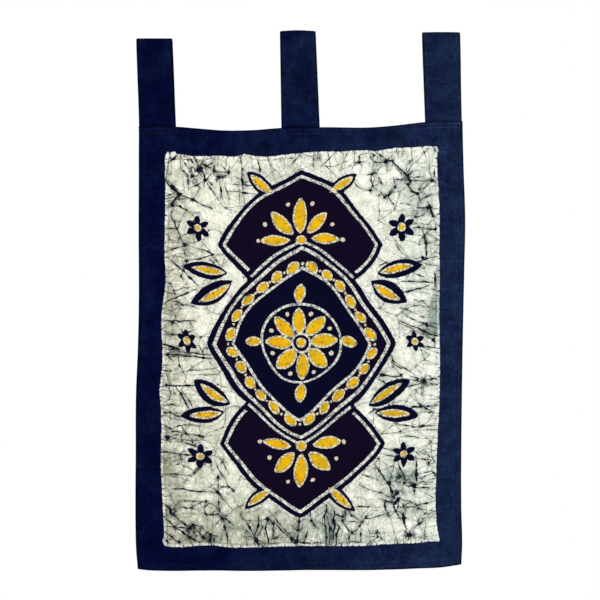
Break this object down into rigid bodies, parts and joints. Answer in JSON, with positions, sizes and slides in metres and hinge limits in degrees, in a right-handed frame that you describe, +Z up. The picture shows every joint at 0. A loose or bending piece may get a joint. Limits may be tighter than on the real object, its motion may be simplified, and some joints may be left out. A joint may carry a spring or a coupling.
{
  "type": "batik wall hanging",
  "caption": "Hemmed rectangular cotton batik cloth with a dark dyed border round a crackled pale field, hanging from folded fabric tabs sewn behind its top edge.",
  "frame": {"origin": "a point on the line of a straight hanging rod, inside the loop of the middle tab and level with the other two loops", "axes": "+Z up, +X to the viewer's right along the rod, +Y from the decorated front to the back, towards the wall"},
  "size_m": [0.5114, 0.0172, 0.8385],
  "materials": {
    "waxed_cotton": "matt",
    "navy_cotton": "matt"
  },
  "bodies": {
    "root": {"panel": "waxed_cotton", "tab_left": "navy_cotton", "tab_centre": "navy_cotton", "tab_right": "navy_cotton"}
  },
  "joints": []
}
